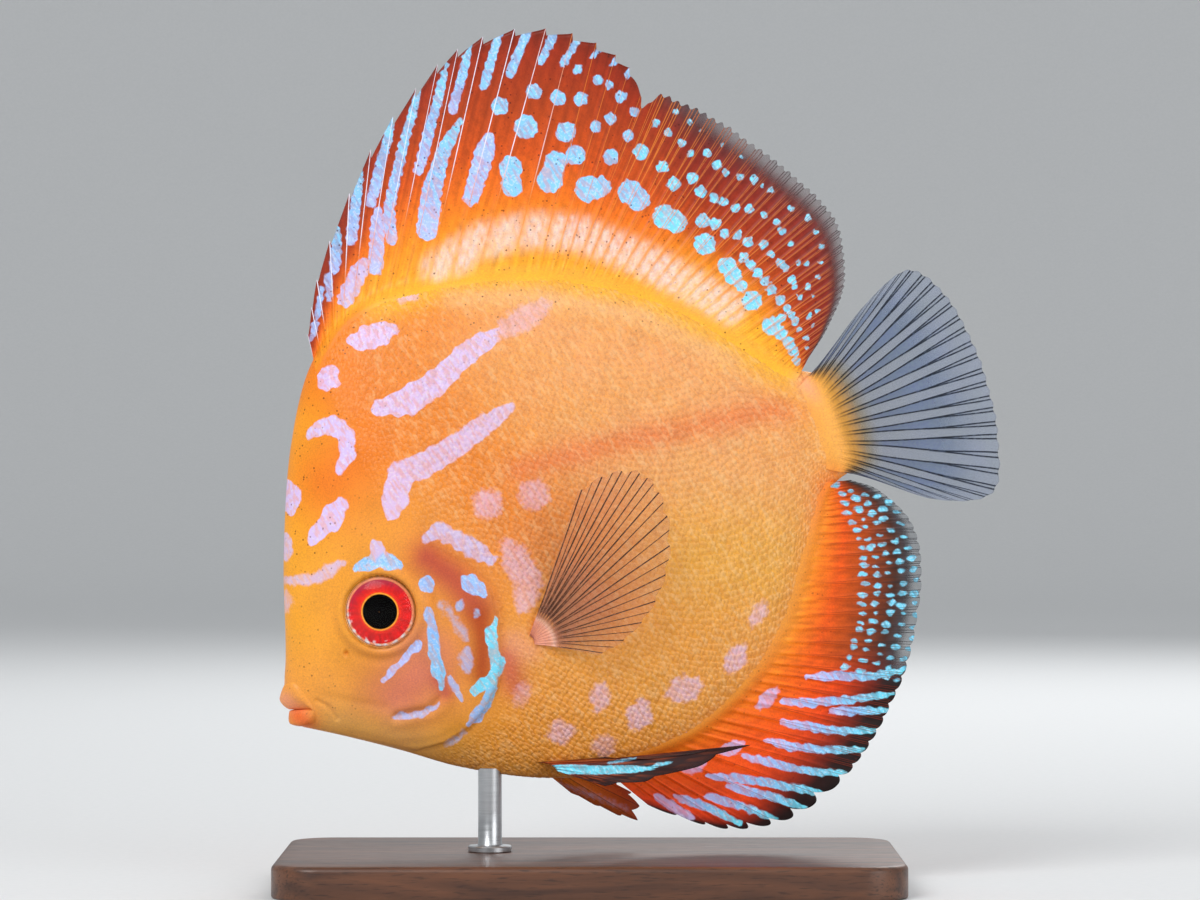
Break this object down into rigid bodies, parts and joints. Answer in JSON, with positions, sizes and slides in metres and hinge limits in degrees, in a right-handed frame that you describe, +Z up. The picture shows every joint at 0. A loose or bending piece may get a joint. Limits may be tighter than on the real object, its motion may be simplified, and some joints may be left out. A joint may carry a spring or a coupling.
{
  "type": "discus fish model on a display stand",
  "caption": "Life-size still model of a discus fish, a tall disc-shaped freshwater fish with spread fins, head pitched down, held by a rod on a flat base.",
  "frame": {"origin": "middle of the underside of the stand's base, on the surface it rests on", "axes": "+Z up, the fish's head points to -X and its tail to +X, its left side faces -Y"},
  "size_m": [0.1509, 0.08, 0.1797],
  "materials": {
    "skin_face": "wet-looking satin skin",
    "skin_flank": "wet-looking scaled skin",
    "skin_tail_root": "wet-looking scaled skin",
    "eye": "glossy",
    "fin_orange": "satin membrane with rays",
    "fin_grey": "translucent satin membrane with rays",
    "fin_clear": "clear membrane with thin rays",
    "stand_wood": "dark satin",
    "stand_steel": "fine brushed"
  },
  "bodies": {
    "root": {"head": "skin_face", "trunk": "skin_flank", "peduncle": "skin_tail_root", "eye_left": "eye", "eye_right": "eye", "dorsal_fin_spines": "fin_orange", "dorsal_fin_soft": "fin_orange", "anal_fin_spines": "fin_orange", "anal_fin_soft": "fin_orange", "caudal_fin": "fin_grey", "pectoral_fin_left": "fin_clear", "pectoral_fin_right": "fin_clear", "pelvic_fin_left": "fin_orange", "pelvic_fin_right": "fin_orange", "stand_base": "stand_wood", "stand_rod": "stand_steel"}
  },
  "joints": []
}
